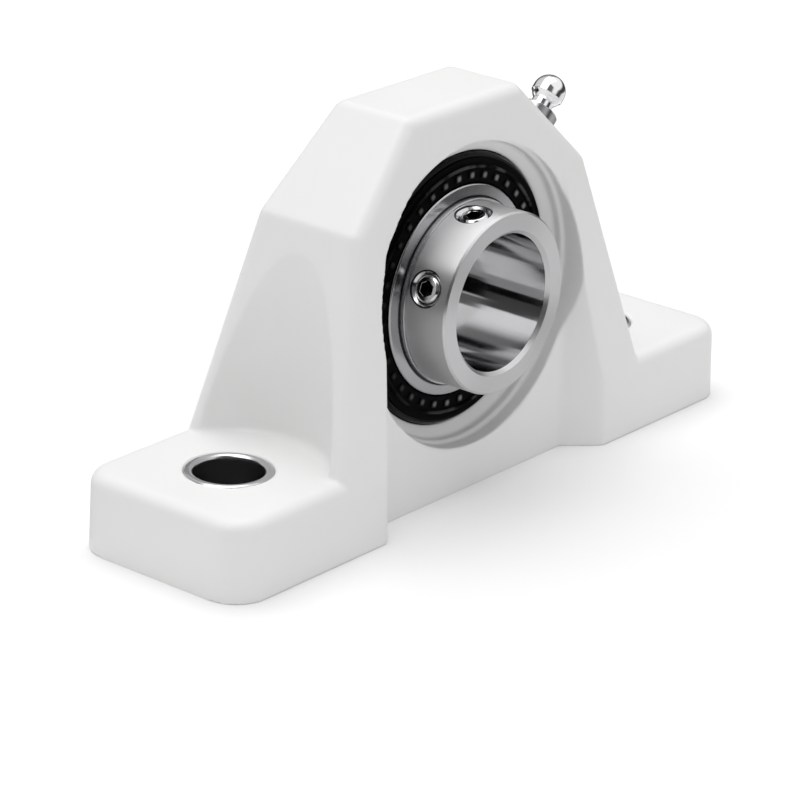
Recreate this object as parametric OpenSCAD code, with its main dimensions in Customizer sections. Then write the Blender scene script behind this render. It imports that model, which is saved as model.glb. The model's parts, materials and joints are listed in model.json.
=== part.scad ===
// Two-bolt pillow block bearing unit: a moulded housing on two feet, a self-aligning
// ball bearing insert held on its shaft by two set screws, and a grease fitting.
// X runs along the bolt line, Y along the shaft with the set-screw collar at -Y,
// and Z up. The origin lies on the base plane, under the middle of the bearing.

/* [Housing] */
// Length of the base
base_l = 165; // [160:1:180]
// Depth of the base along the shaft
base_w = 46; // [45:0.5:50]
// Height of the feet
foot_h = 17.3; // [15:0.1:19]
// Radius of the upright corners of the feet
foot_corner_r = 8; // [6:0.5:10]
// Rounding of the top edges of the feet
foot_round = 3; // [2:0.5:4]
// Draft of the base's upright faces, in degrees
draft = 1.7; // [1:0.1:2.5]
// Height of the shaft's axis above the base
shaft_h = 42.9; // [42:0.1:44]
// Height of the flat top
housing_h = 84.5; // [83:0.5:88]
// Width of the flat top
top_w = 36.2; // [34:0.2:40]
// Width across the shoulders, below the 45 degree slopes
shoulder_w = 76.2; // [75:0.2:79]
// Width of the body where it meets the feet
waist_w = 101; // [98:0.5:104]
// Lean of the front and back faces, in degrees
face_tilt = 9.9; // [9:0.1:10.5]
// Rounding of the body's edges
edge_round = 3; // [2:0.5:3.5]
// Width of the floor of the recess between the feet
recess_w = 59.4; // [56:0.2:62]
// Distance of the recess floor from the middle plane, at the base
recess_y = 15.9; // [15:0.1:17]
// Radius of the recess's rounded corners
recess_round = 3; // [1:0.5:4]

/* [Bolts] */
// Distance between the bolt holes
bolt_spacing = 121; // [119:0.5:124]
// Outer diameter of the metal sleeves
sleeve_od = 18.8; // [17:0.2:20]
// Bore of the sleeves
sleeve_id = 14.8; // [13:0.2:15.4]
// Rounding of the sleeves' ends
sleeve_round = 0.9; // [0.4:0.1:1]
// Radius of the scoop in the body over each bolt
scoop_r = 20.8; // [20:0.1:21.6]
// Fillet at the bottom of the scoop
scoop_fillet = 1.6; // [0.8:0.2:2.4]

/* [Opening and seat] */
// Diameter of the opening in each face
opening_d = 66.6; // [66:0.2:68]
// Drop from the opening's wall to the narrower wall behind it
opening_step = 0.8; // [0.4:0.1:1.2]
// Depth of the narrower wall
ledge_depth = 1.7; // [1:0.1:2.2]
// Depth of the cone between the narrower wall and the seat
lip_depth = 1.6; // [1.2:0.1:2]
// Width of the spherical seat
seat_w = 17.2; // [16.4:0.2:17.6]

/* [Rings] */
// Shaft bore
bore_d = 30; // [29:0.5:31]
// Outer diameter of the outer ring's sphere
ring_od = 62; // [61.6:0.1:62.4]
// Width of the outer ring
ring_w = 19; // [18.4:0.2:19.4]
// Rim left outside the seal's seat
ring_rim = 2.3; // [2.1:0.1:2.6]
// Break of the outer ring's edges
ring_edge = 0.3; // [0.2:0.05:0.4]
// Diameter of the grease holes in the outer ring
ring_hole_d = 1.8; // [1.4:0.1:2]
// Angles of the two grease holes round the outer ring, in degrees
ring_hole_angles = [-45, 75];
// Diameter of the inner ring and its collar
collar_d = 39.6; // [39.2:0.1:40.2]
// Reach of the collar in front of the bearing's middle
collar_reach = 22.2; // [21.5:0.1:22.8]
// Reach of the inner ring behind the bearing's middle
tail_reach = 15.9; // [14.5:0.1:16.5]
// Chamfers of the shaft bore
bore_chamfer = 0.8; // [0.5:0.1:1]
// Chamfers of the inner ring's outer edges
collar_chamfer = 0.4; // [0.2:0.1:0.6]

/* [Balls and cage] */
// Ball diameter
ball_d = 9.525; // [9.2:0.025:9.6]
// Number of balls
ball_count = 9; // [9:1:9]
// Raceway radius over ball radius
conformity = 1.04; // [1.03:0.005:1.06]
// Radial depth of the outer ring's land beyond the pitch circle
land_out = 3; // [2.8:0.1:3.3]
// Radial thickness of the cage
cage_t = 3.2; // [2.8:0.1:3.6]
// Width of the cage
cage_w = 11.6; // [11.4:0.1:12]
// Diameter of the cage's rivets
rivet_d = 1.6; // [1.2:0.1:2]
// Diameter and height of the rivets' heads
rivet_head = [2.6, 0.4];

/* [Seals and flingers] */
// Depth of the seal's seat in the ring
seal_depth = 2.5; // [2.3:0.1:2.7]
// How far the seal's face stands proud of the ring
seal_proud = 0.4; // [0.3:0.1:0.6]
// Outer radius of the bead round the seal
bead_r = 27.2; // [27:0.1:27.5]
// Extra height of that bead
bead_h = 0.6; // [0.4:0.1:0.8]
// Width of that bead
bead_w = 0.7; // [0.5:0.1:0.9]
// Number of small ribs round the seal
rib_count = 36; // [30:1:40]
// Radius of the circle of ribs
rib_circle_r = 25; // [24.8:0.1:25.2]
// Length and width of a rib
rib_size = 1.5; // [1.2:0.1:1.7]
// Height of a rib
rib_h = 0.35; // [0.25:0.05:0.45]
// Turn of the circle of ribs, in ribs
rib_turn = 0.33; // [0:0.01:1]
// Outer diameter of the flinger
flinger_d = 46.2; // [45.6:0.2:46.8]
// Thickness of the flinger at its rim
flinger_t = 1.1; // [0.9:0.1:1.3]
// How far the flinger's rim stands proud of the seal's face
flinger_proud = 0.4; // [0.3:0.1:0.5]
// How far the flinger dishes out towards the collar
flinger_dish = 0.5; // [0.3:0.1:0.7]

/* [Set screws] */
// Thread diameter of the set screws
screw_d = 6; // [5.5:0.1:6.4]
// Length of a set screw
screw_l = 4.2; // [4:0.1:4.3]
// Depth of the screws' ends below the collar's surface
screw_sunk = 0.4; // [0.3:0.1:0.5]
// Chamfers of the screws' ends
screw_chamfer = 0.5; // [0.3:0.1:0.6]
// Diameter of the cup point
cup_d = 2.7; // [2.2:0.1:3]
// Width across the flats of the hexagon socket
socket_af = 3; // [2.5:0.1:3.2]
// Depth of the socket
socket_depth = 2.4; // [1.6:0.1:2.6]
// Distance of the screws from the collar's face
screw_inset = 6.2; // [5.6:0.1:6.6]
// Angle of the upper screw from +X, in degrees
screw_angle = 100.5; // [95:0.5:105]
// Angle between the two screws, in degrees
screw_spread = 60; // [55:1:65]
// Diameter of the countersink over each screw
sink_d = 8.2; // [7.6:0.1:8.6]

/* [Locking pin] */
// Diameter of the pin that stops the outer ring turning
pin_d = 3; // [2.6:0.1:3.2]
// Depth of the pin in the outer ring
pin_depth = 1.7; // [1.4:0.1:1.9]
// Reach of the pin into the housing
pin_reach = 2.6; // [2:0.1:3.2]
// Largest tilt of the insert, in degrees
tilt_max = 2; // [1:0.5:2.5]

/* [Grease fitting] */
// Distance of the fitting below the top edge, along the right slope
fitting_drop = 22.9; // [21.5:0.1:23.4]
// Outer diameter of the threaded bushing
bushing_d = 8; // [7.6:0.1:8.2]
// Plastic left between the bushing's inner end and the bearing's seat
bushing_wall = 3.7; // [3.2:0.1:4.2]
// Diameter of the bushing's flange
flange_d = 9.2; // [8.8:0.1:9.6]
// Height of the flange above the slope
flange_h = 2.2; // [1.6:0.1:2.6]
// Thread diameter of the fitting
fitting_d = 6.2; // [5.8:0.1:6.4]
// Width across the flats of its hexagon
hex_af = 8; // [7.6:0.1:8.2]
// Height of the hexagon
hex_h = 3.3; // [3:0.1:3.8]
// Cut of the hexagon's upper corners
hex_edge = 0.5; // [0.3:0.1:0.7]
// Diameter of the neck
neck_d = 4.8; // [4.4:0.1:5]
// Diameter of the head
head_d = 7.3; // [7:0.1:7.4]
// Height of the neck and head above the hexagon
head_h = 8; // [7.6:0.1:8.4]
// Height of the straight band under the head's dome
band_h = 1.2; // [1:0.1:1.4]
// Diameter of the flat mouth on top of the head
mouth_d = 2.8; // [2.6:0.1:3.2]
// Grease passage in the fitting
passage_d = 2.4; // [2.2:0.1:2.6]
// Hole in the mouth that the check ball closes
mouth_hole_d = 1.5; // [1.3:0.1:1.7]
// Wall round the mouth hole, where the check ball rests
mouth_wall = 0.6; // [0.5:0.1:0.8]
// Diameter of the check ball
check_d = 2.1; // [2:0.05:2.15]
// Length of the check spring
spring_l = 5.5; // [5:0.1:6]
// Wire diameter of the check spring
spring_wire = 0.3; // [0.25:0.05:0.35]
// Number of turns of the check spring
spring_turns = 5; // [4:1:6]
// Diameter of the grease hole in the housing
grease_hole_d = 3; // [2.5:0.1:3.5]

/* [Clearances] */
// Gap round the spherical outer ring in its seat
seat_gap = 0.1; // [0.05:0.01:0.1]
// Gap between the balls and the raceways
ball_gap = 0.08; // [0.05:0.01:0.1]
// Gap between a ball and its pocket
pocket_gap = 0.15; // [0.1:0.01:0.2]
// Gap of pieces that are pressed or screwed in
press_gap = 0.02; // [0.01:0.005:0.03]
// Gap round the set screws and the locking pin
slide_gap = 0.04; // [0.03:0.005:0.05]
// Gap between what turns and what stands still
run_gap = 0.3; // [0.25:0.05:0.4]
// Gap of the check ball under its mouth
check_gap = 0.15; // [0.1:0.01:0.2]
// Gap round the check spring and at its ends
spring_gap = 0.06; // [0.04:0.01:0.08]

/* [Hidden] */
$fn = 96;

// Colours
white_plastic = [0.93, 0.93, 0.92];
stainless = [0.74, 0.75, 0.76];
polished_steel = [0.82, 0.83, 0.85];
black_rubber = [0.04, 0.04, 0.045];
nylon = [0.78, 0.74, 0.62];

// More than any cut has to reach
through = 100;
// How far a cutter stands out of the face that it cuts
over = 1;

// Heights and widths of the body
shoulder_z = housing_h - (shoulder_w - top_w) / 2;
side_angle = atan((waist_w - shoulder_w) / 2 / (shoulder_z - foot_h));
meet_z = foot_h - foot_round;
slope_sum = top_w / 2 + housing_h;

// Rings
ring_r = ring_od / 2;
collar_r = collar_d / 2;
pitch_r = (bore_d + ring_od) / 4;
ball_r = ball_d / 2;
groove_r = ball_r * conformity;
inner_groove_r = pitch_r - ball_r - ball_gap + groove_r;
outer_groove_r = pitch_r + ball_r + ball_gap - groove_r;
land_r = pitch_r + land_out;
seal_r = ring_r - ring_rim;
seal_y = ring_w / 2 - seal_depth;
seal_face_y = ring_w / 2 + seal_proud;

// Flinger, level with the seal's face at its rim
flinger_r = flinger_d / 2;
flinger_y = seal_face_y + flinger_proud;
flinger_back_y = flinger_y - flinger_t;

// Set screws
screw_r = screw_d / 2;
screw_y = -(collar_reach - screw_inset);
screw_top = collar_r - screw_sunk;

// Grease fitting
fitting_x = top_w / 2 + fitting_drop / sqrt(2);
fitting_z = slope_sum - fitting_x;
fitting_base = flange_h + hex_h;
fitting_top = fitting_base + head_h;
passage_top = fitting_top - mouth_wall;
check_y = passage_top - check_d / 2 - check_gap;
spring_bottom = check_y - check_d / 2 - spring_l;

// Length of the bushing, from the corner of its inner end that lies nearest to the seat
fitting_side = (fitting_x - fitting_z + shaft_h) / sqrt(2);
corner_side = max(0, abs(fitting_side) - bushing_d / 2);
seat_depth = (slope_sum - shaft_h) / sqrt(2) - sqrt(pow(ring_r + seat_gap, 2) - pow(corner_side, 2));
bushing_l = seat_depth - bushing_wall;

// Depth of the foot's front face at height z
function foot_y(z) = base_w / 2 - z * tan(draft);
// Depth of the leaning front face at height z
function face_y(z) = foot_y(meet_z) - (z - meet_z) * tan(face_tilt);
// Points of an arc, from angle a0 to a1
function arc(x, y, r, a0, a1, n = 6) =
    [for (i = [0:n]) [x + r * cos(a0 + (a1 - a0) * i / n), y + r * sin(a0 + (a1 - a0) * i / n)]];
// The same outline seen in a mirror, in turning order
function mirrored(points) = [for (i = [len(points) - 1:-1:0]) [-points[i][0], points[i][1]]];

// Centres of the rounding spheres, from the faces moved in by the edge radius
side_line = (waist_w / 2) * cos(side_angle) + foot_h * sin(side_angle) - edge_round;
slope_line = slope_sum - edge_round * sqrt(2);
top_c = [slope_line - (housing_h - edge_round), housing_h - edge_round];
shoulder_c_z = (side_line - slope_line * cos(side_angle)) / (sin(side_angle) - cos(side_angle));
shoulder_c = [slope_line - shoulder_c_z, shoulder_c_z];
waist_c_z = meet_z - edge_round * sin(face_tilt);
waist_c = [(side_line - waist_c_z * sin(side_angle)) / cos(side_angle), waist_c_z];

// Turns a child that stands along +Z to lie along -Y at the shaft's axis
module on_shaft() {
    translate([0, 0, shaft_h]) rotate([90, 0, 0]) children();
}

// Puts a child on both sides of the bearing's middle plane
module both_sides() {
    on_shaft() children();
    on_shaft() mirror([0, 0, 1]) children();
}

// Stands a child on the right slope, with its +Z straight out of the slope
module on_slope() {
    translate([fitting_x, 0, fitting_z]) rotate([0, 45, 0]) children();
}

// One corner post of the base, rounded at its top edge
module corner_post() {
    top_r = foot_corner_r - meet_z * tan(draft);
    rotate_extrude($fn = 32)
        polygon(concat([[0, 0], [foot_corner_r, 0]],
                       arc(top_r - foot_round, meet_z, foot_round, 0, 90), [[0, foot_h]]));
}

// Base slab with both feet
module base() {
    hull()
        for (sx = [-1, 1], sy = [-1, 1])
            translate([sx * (base_l / 2 - foot_corner_r), sy * (base_w / 2 - foot_corner_r), 0])
                corner_post();
}

// Leaning body over the feet
module body() {
    hull()
        for (c = [top_c, shoulder_c, waist_c], sx = [-1, 1], sy = [-1, 1])
            translate([sx * c[0], sy * (face_y(c[1]) - edge_round / cos(face_tilt)), c[1]])
                sphere(r = edge_round, $fn = 32);
}

// Cut that makes the scoop over a bolt
module scoop() {
    rotate_extrude()
        polygon(concat([[0, foot_h]],
                       arc(scoop_r - scoop_fillet, foot_h + scoop_fillet, scoop_fillet, -90, 0),
                       [[scoop_r, through], [0, through]]));
}

// Plan of the recess between the feet, with 45 degree walls
module recess_plan() {
    floor_x = recess_w / 2;
    front_x = floor_x + base_w / 2 - recess_y;
    tangent = recess_round * tan(22.5);
    half = concat(arc(floor_x - tangent, recess_round - recess_y - 2 * recess_round, recess_round, 90, 45),
                  arc(front_x + tangent, recess_round - base_w / 2, recess_round, 225, 270),
                  [[front_x + tangent, -base_w]]);
    polygon(concat(mirrored(half), half));
}

// Cut between the feet, in the front face
module recess() {
    rotate([-draft, 0, 0]) translate([0, 0, -over]) linear_extrude(housing_h) recess_plan();
}

// Stepped opening outside the seat, on one side
module opening() {
    seat_edge_r = sqrt(pow(ring_r + seat_gap, 2) - pow(seat_w / 2, 2));
    lip_y = seat_w / 2 + lip_depth;
    step_y = lip_y + ledge_depth;
    wall_r = opening_d / 2;
    ledge_r = wall_r - opening_step;
    lip_slope = (ledge_r - seat_edge_r) / lip_depth;
    translate([0, 0, seat_w / 2 - over])
        cylinder(h = lip_depth + over, r1 = seat_edge_r - over * lip_slope, r2 = ledge_r);
    translate([0, 0, lip_y]) cylinder(h = ledge_depth, r = ledge_r);
    translate([0, 0, step_y]) cylinder(h = opening_step / 2, r1 = ledge_r, r2 = wall_r);
    translate([0, 0, step_y + opening_step / 2]) cylinder(h = base_w, r = wall_r);
}

// Two slots behind the seat, through which the ring goes in edge on before it is turned square
module loading_slots() {
    translate([0, 0, shaft_h]) intersection() {
        rotate([-90, 0, 0]) cylinder(h = seat_w / 2 + over, r = ring_r + seat_gap);
        translate([-ring_r - over, 0, -ring_w / 2 - run_gap])
            cube([2 * (ring_r + over), ring_w, ring_w + 2 * run_gap]);
    }
}

// Slot over the outer ring in which the locking pin swings
module pin_slot() {
    slot_r = pin_d / 2 + slide_gap;
    swing = (ring_r + pin_reach) * sin(tilt_max) + slide_gap;
    top_z = shaft_h + ring_r + pin_reach + run_gap;
    for (sy = [-1, 1])
        translate([0, sy * swing, shaft_h]) cylinder(h = top_z - shaft_h, r = slot_r);
    translate([-slot_r, -swing, shaft_h]) cube([2 * slot_r, 2 * swing, top_z - shaft_h]);
}

// Moulded housing
module housing() {
    color(white_plastic) difference() {
        union() {
            base();
            body();
        }
        for (sx = [-1, 1]) translate([sx * bolt_spacing / 2, 0, 0]) {
            translate([0, 0, -over]) cylinder(h = through, r = sleeve_od / 2 + press_gap);
            scoop();
        }
        recess();
        mirror([0, 1, 0]) recess();
        translate([0, 0, shaft_h]) sphere(r = ring_r + seat_gap);
        both_sides() opening();
        loading_slots();
        pin_slot();
        on_slope() {
            translate([0, 0, -bushing_l]) cylinder(h = through, r = bushing_d / 2 + press_gap);
            translate([0, 0, -ring_r]) cylinder(h = ring_r, r = grease_hole_d / 2);
        }
    }
}

// Metal sleeve that takes the bolt's load
module bolt_sleeve(side) {
    inner = sleeve_id / 2;
    outer = sleeve_od / 2;
    wall = outer - inner;
    r = min(sleeve_round, wall * 0.45);
    profile = concat(arc(outer - r, r, r, -90, 0), arc(outer - r, foot_h - r, r, 0, 90),
                     arc(inner + r, foot_h - r, r, 90, 180), arc(inner + r, r, r, 180, 270));
    color(stainless) translate([side * bolt_spacing / 2, 0, 0]) rotate_extrude() polygon(profile);
}

module bolt_sleeve_left() {
    bolt_sleeve(-1);
}

module bolt_sleeve_right() {
    bolt_sleeve(1);
}

// Threaded bushing moulded into the slope
module fitting_bushing() {
    color(stainless) on_slope() difference() {
        union() {
            translate([0, 0, -bushing_l]) cylinder(h = bushing_l, r = bushing_d / 2);
            cylinder(h = flange_h, r = flange_d / 2);
        }
        translate([0, 0, -bushing_l - over])
            cylinder(h = bushing_l + flange_h + 2 * over, r = fitting_d / 2 + press_gap);
    }
}

// Grease fitting: thread, hexagon, neck and head round one passage
module grease_fitting() {
    corner_r = hex_af / sqrt(3);
    head_r = head_d / 2;
    dome_z = fitting_top - sqrt(pow(head_r, 2) - pow(mouth_d / 2, 2));
    flare = head_r - neck_d / 2;
    color(polished_steel) on_slope() difference() {
        union() {
            translate([0, 0, -bushing_l]) cylinder(h = bushing_l + flange_h, r = fitting_d / 2);
            intersection() {
                translate([0, 0, flange_h]) cylinder(h = hex_h, r = corner_r, $fn = 6);
                translate([0, 0, flange_h])
                    cylinder(h = hex_h, r1 = corner_r + hex_h - hex_edge, r2 = corner_r - hex_edge);
            }
            translate([0, 0, fitting_base - over]) cylinder(h = dome_z + over - fitting_base, r = neck_d / 2);
            translate([0, 0, dome_z - band_h - flare]) cylinder(h = flare, r1 = neck_d / 2, r2 = head_r);
            translate([0, 0, dome_z - band_h]) cylinder(h = band_h, r = head_r);
            translate([0, 0, dome_z]) sphere(r = head_r);
        }
        translate([0, 0, fitting_top]) cylinder(h = head_h, r = head_d);
        translate([0, 0, spring_bottom]) cylinder(h = passage_top - spring_bottom, r = passage_d / 2);
        translate([0, 0, -through / 2]) cylinder(h = through, r = mouth_hole_d / 2);
    }
}

// Ball that closes the mouth from inside
module check_ball() {
    color(polished_steel) on_slope() translate([0, 0, check_y]) sphere(r = check_d / 2, $fn = 48);
}

// Points of one ring of the spring's wire
function wire_ring(a, sides) =
    let (r = passage_d / 2 - spring_wire / 2 - spring_gap,
         rise = (spring_l - spring_wire - 2 * spring_gap) * a / (360 * spring_turns))
    [for (i = [0:sides - 1])
        let (b = 360 * i / sides, q = r + spring_wire / 2 * cos(b))
        [q * cos(a), q * sin(a), spring_bottom + spring_gap + spring_wire / 2 * (1 + sin(b)) + rise]];

// Helical spring under the check ball
module check_spring() {
    sides = 6;
    steps = spring_turns * 12;
    rings = [for (i = [0:steps]) wire_ring(i * 360 * spring_turns / steps, sides)];
    points = [for (ring = rings) for (p = ring) p];
    walls = [for (i = [0:steps - 1], j = [0:sides - 1])
        [i * sides + j, i * sides + (j + 1) % sides, (i + 1) * sides + (j + 1) % sides, (i + 1) * sides + j]];
    ends = [[for (j = [sides - 1:-1:0]) j], [for (j = [0:sides - 1]) steps * sides + j]];
    color(stainless) on_slope() polyhedron(points = points, faces = concat(walls, ends), convexity = 10);
}

// Pin between the outer ring and the housing's slot
module locking_pin() {
    color(polished_steel) translate([0, 0, shaft_h + ring_r - pin_depth + press_gap])
        cylinder(h = pin_depth + pin_reach - press_gap, r = pin_d / 2);
}

// Blank of the outer ring: a slice of a sphere with its edges broken
module ring_blank() {
    half = ring_w / 2;
    face_r = sqrt(pow(ring_r, 2) - pow(half, 2)) - ring_edge;
    intersection() {
        translate([0, 0, shaft_h]) sphere(r = ring_r);
        on_shaft() rotate_extrude()
            polygon([[0, -half], [face_r, -half], [face_r + half, 0], [face_r, half], [0, half]]);
    }
}

// Outer ring, spherical outside
module outer_ring() {
    hole_y = (land_r - outer_groove_r + seal_y) / 2;
    color(stainless) difference() {
        ring_blank();
        on_shaft() cylinder(h = 2 * ring_w, r = land_r, center = true);
        on_shaft() rotate_extrude() translate([outer_groove_r, 0]) circle(r = groove_r, $fn = 64);
        both_sides() translate([0, 0, seal_y]) cylinder(h = ring_w, r = seal_r);
        translate([0, 0, shaft_h + ring_r - pin_depth])
            cylinder(h = ring_w, r = pin_d / 2 + slide_gap);
        // Two holes that let the grease in beside the raceway
        for (a = ring_hole_angles)
            translate([0, 0, shaft_h]) rotate([0, 90 - a, 0])
                translate([0, hole_y, 0]) cylinder(h = ring_od, r = ring_hole_d / 2, $fn = 32);
    }
}

// Place and turn of a radial set screw hole
module at_screw(angle) {
    translate([0, screw_y, shaft_h]) rotate([0, 90 - angle, 0]) children();
}

// Inner ring with the set-screw collar
module inner_ring() {
    bore_r = bore_d / 2;
    b = bore_chamfer;
    c = collar_chamfer;
    profile = [[bore_r, -tail_reach + b], [bore_r + b, -tail_reach], [collar_r - c, -tail_reach],
               [collar_r, -tail_reach + c], [collar_r, collar_reach - c], [collar_r - c, collar_reach],
               [bore_r + b, collar_reach], [bore_r, collar_reach - b]];
    color(stainless) difference() {
        on_shaft() rotate_extrude() polygon(profile);
        on_shaft() rotate_extrude() translate([inner_groove_r, 0]) circle(r = groove_r, $fn = 64);
        for (a = [screw_angle, screw_angle + screw_spread]) at_screw(a) {
            cylinder(h = ring_od, r = screw_r + slide_gap, $fn = 64);
            translate([0, 0, collar_r - (sink_d - screw_d) / 2])
                cylinder(h = sink_d, r1 = screw_r + slide_gap, r2 = screw_r + slide_gap + sink_d);
        }
    }
}

// Rubber seal in the outer ring, with a bead and a circle of small ribs
module seal() {
    rubber_r = seal_r - press_gap;
    step_r = flinger_r + run_gap;
    lip_r = collar_r + run_gap;
    recess_z = flinger_back_y - run_gap;
    bead_top = seal_face_y + bead_h;
    profile = [[lip_r, seal_y + press_gap], [rubber_r, seal_y + press_gap], [rubber_r, seal_face_y],
               [bead_r, seal_face_y], [bead_r, bead_top - bead_w / 3], [bead_r - bead_w / 3, bead_top],
               [bead_r - bead_w * 2 / 3, bead_top], [bead_r - bead_w, bead_top - bead_w / 3],
               [bead_r - bead_w, seal_face_y], [step_r, seal_face_y], [step_r, recess_z], [lip_r, recess_z]];
    color(black_rubber) {
        rotate_extrude() polygon(profile);
        for (i = [0:rib_count - 1])
            rotate([0, 0, (i + rib_turn) * 360 / rib_count])
                translate([rib_circle_r - rib_size / 2, -rib_size / 2, seal_face_y - rib_h])
                    cube([rib_size, rib_size, 2 * rib_h]);
    }
}

module seal_front() {
    on_shaft() seal();
}

module seal_back() {
    on_shaft() mirror([0, 0, 1]) seal();
}

// Dished steel ring on the inner ring, over the seal's lip
module flinger() {
    hub_r = collar_r + press_gap;
    edge = flinger_t / 4;
    color(stainless) rotate_extrude()
        polygon([[hub_r, flinger_back_y], [flinger_r - edge, flinger_back_y], [flinger_r, flinger_back_y + edge],
                 [flinger_r, flinger_y - edge], [flinger_r - edge, flinger_y], [hub_r, flinger_y + flinger_dish]]);
}

module flinger_front() {
    on_shaft() flinger();
}

module flinger_back() {
    on_shaft() mirror([0, 0, 1]) flinger();
}

// Angle of ball or rivet number i round the shaft
function ball_angle(i) = i * 360 / ball_count;

// One half of the cage, with half of every ball pocket
module cage_half() {
    color(nylon) difference() {
        rotate_extrude() translate([pitch_r - cage_t / 2, 0]) square([cage_t, cage_w / 2]);
        for (i = [0:ball_count - 1]) {
            rotate([0, 0, ball_angle(i)]) translate([pitch_r, 0, 0]) sphere(r = ball_r + pocket_gap);
            rotate([0, 0, ball_angle(i + 0.5)]) translate([pitch_r, 0, -over])
                cylinder(h = cage_w, r = rivet_d / 2 + press_gap, $fn = 32);
        }
    }
}

module cage_front() {
    on_shaft() cage_half();
}

module cage_back() {
    on_shaft() mirror([0, 0, 1]) cage_half();
}

// Rivets between the pockets
module cage_rivets() {
    color(stainless) on_shaft() for (i = [0:ball_count - 1])
        rotate([0, 0, ball_angle(i + 0.5)]) translate([pitch_r, 0, 0]) {
            cylinder(h = cage_w, r = rivet_d / 2, center = true, $fn = 32);
            for (s = [0, 1]) mirror([0, 0, s])
                translate([0, 0, cage_w / 2]) cylinder(h = rivet_head[1], r = rivet_head[0] / 2, $fn = 32);
        }
}

// Ball number i
module ball(i) {
    color(polished_steel) on_shaft() rotate([0, 0, ball_angle(i - 1)]) translate([pitch_r, 0, 0])
        sphere(r = ball_r, $fn = 64);
}

// Set screw with a hexagon socket and a cup point
module set_screw(angle) {
    edge = screw_chamfer;
    cup_r = cup_d / 2;
    color(polished_steel) at_screw(angle) difference() {
        translate([0, 0, screw_top - screw_l]) {
            cylinder(h = edge, r1 = screw_r - edge, r2 = screw_r);
            translate([0, 0, edge]) cylinder(h = screw_l - 2 * edge, r = screw_r);
            translate([0, 0, screw_l - edge]) cylinder(h = edge, r1 = screw_r, r2 = screw_r - edge);
        }
        translate([0, 0, screw_top - socket_depth])
            cylinder(h = screw_l, r = socket_af / sqrt(3), $fn = 6);
        translate([0, 0, screw_top - screw_l - over])
            cylinder(h = over + cup_r, r1 = cup_r + over, r2 = 0);
    }
}

module set_screw_upper() {
    set_screw(screw_angle);
}

module set_screw_side() {
    set_screw(screw_angle + screw_spread);
}

housing();
bolt_sleeve_left();
bolt_sleeve_right();
fitting_bushing();
grease_fitting();
check_ball();
check_spring();
locking_pin();
outer_ring();
inner_ring();
seal_front();
seal_back();
flinger_front();
flinger_back();
cage_front();
cage_back();
cage_rivets();
ball(1);  // ball_1
ball(2);  // ball_2
ball(3);  // ball_3
ball(4);  // ball_4
ball(5);  // ball_5
ball(6);  // ball_6
ball(7);  // ball_7
ball(8);  // ball_8
ball(9);  // ball_9
set_screw_upper();
set_screw_side();
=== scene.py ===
import json
import math

import bmesh
import bpy
from mathutils import Matrix, Vector

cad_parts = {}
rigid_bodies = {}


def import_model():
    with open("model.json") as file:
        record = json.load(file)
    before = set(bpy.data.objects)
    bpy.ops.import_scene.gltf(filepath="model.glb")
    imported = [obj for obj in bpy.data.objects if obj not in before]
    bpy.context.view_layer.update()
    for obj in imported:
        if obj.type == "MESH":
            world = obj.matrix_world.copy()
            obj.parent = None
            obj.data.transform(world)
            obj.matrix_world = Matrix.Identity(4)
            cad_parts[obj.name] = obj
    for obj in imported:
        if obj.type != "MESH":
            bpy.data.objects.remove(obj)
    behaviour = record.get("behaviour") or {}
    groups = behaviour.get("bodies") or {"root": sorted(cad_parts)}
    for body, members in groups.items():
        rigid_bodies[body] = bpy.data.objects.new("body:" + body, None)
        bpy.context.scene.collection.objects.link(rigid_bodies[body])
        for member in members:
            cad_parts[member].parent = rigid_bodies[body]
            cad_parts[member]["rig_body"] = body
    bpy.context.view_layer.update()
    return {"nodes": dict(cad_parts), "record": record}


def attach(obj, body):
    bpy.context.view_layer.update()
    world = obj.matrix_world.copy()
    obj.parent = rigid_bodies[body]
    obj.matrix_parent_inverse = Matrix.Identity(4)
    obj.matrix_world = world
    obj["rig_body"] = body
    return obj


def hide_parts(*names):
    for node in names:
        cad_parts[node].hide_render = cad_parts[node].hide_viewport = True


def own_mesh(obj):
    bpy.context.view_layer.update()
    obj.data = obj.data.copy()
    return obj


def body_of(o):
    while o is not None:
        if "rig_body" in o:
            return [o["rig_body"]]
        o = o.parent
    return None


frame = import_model()

# Sizes are in metres
MM = 0.001

# Camera, found from the photograph's edges
VIEW_AZIMUTH = -50.53
VIEW_ELEVATION = 21.77
VIEW_ROLL = 1.707
VIEW_DISTANCE = 0.7907
VIEW_AIM = Vector((-0.01003, -0.00303, 0.01875))
VIEW_LENS = 167.15
VIEW_CLIP = (0.05, 20)

# Shaft axis, along Y
SHAFT = Vector((0, 0, 42.9 * MM))
SHAFT_AXIS = Vector((0, 1, 0))
BORE_R = 15 * MM

# Set screws: a point on each one's axis inside the shaft, and the axis
SCREW_PLACE = SHAFT + Vector((0, -16.0, 0)) * MM
SCREWS = {
    name: (SCREW_PLACE, Vector((math.cos(math.radians(turn)), 0, math.sin(math.radians(turn)))))
    for name, turn in (("set_screw_upper", 100.5), ("set_screw_side", 160.5))
}
# Their mouths, as radii from the screw's axis: outside and inside of the rim painted dark as shade, and the
# thread
MOUTH_R = 4.05 * MM
MOUTH_RIM = 3.72 * MM
THREAD_R = 3.1 * MM
# Top of a screw from the shaft axis, and the radius of its socket, within which shade is painted
SCREW_TOP = 19.2 * MM
SOCKET_R = 1.9 * MM

# Radius of the painted shade where flinger meets collar, and how far a finish or painted shade fades on both
# sides of an edge
JOINT_R = 20.8 * MM
FADE = (-0.2 * MM, 0.1 * MM)

# Bolt sleeves stand upright at this distance on both sides
SIDES = (("left", -1), ("right", 1))
UPRIGHT = (0, 0, 1)
SLEEVE_X = 60.5 * MM
SLEEVE_BORE_R = 7.4 * MM
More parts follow.
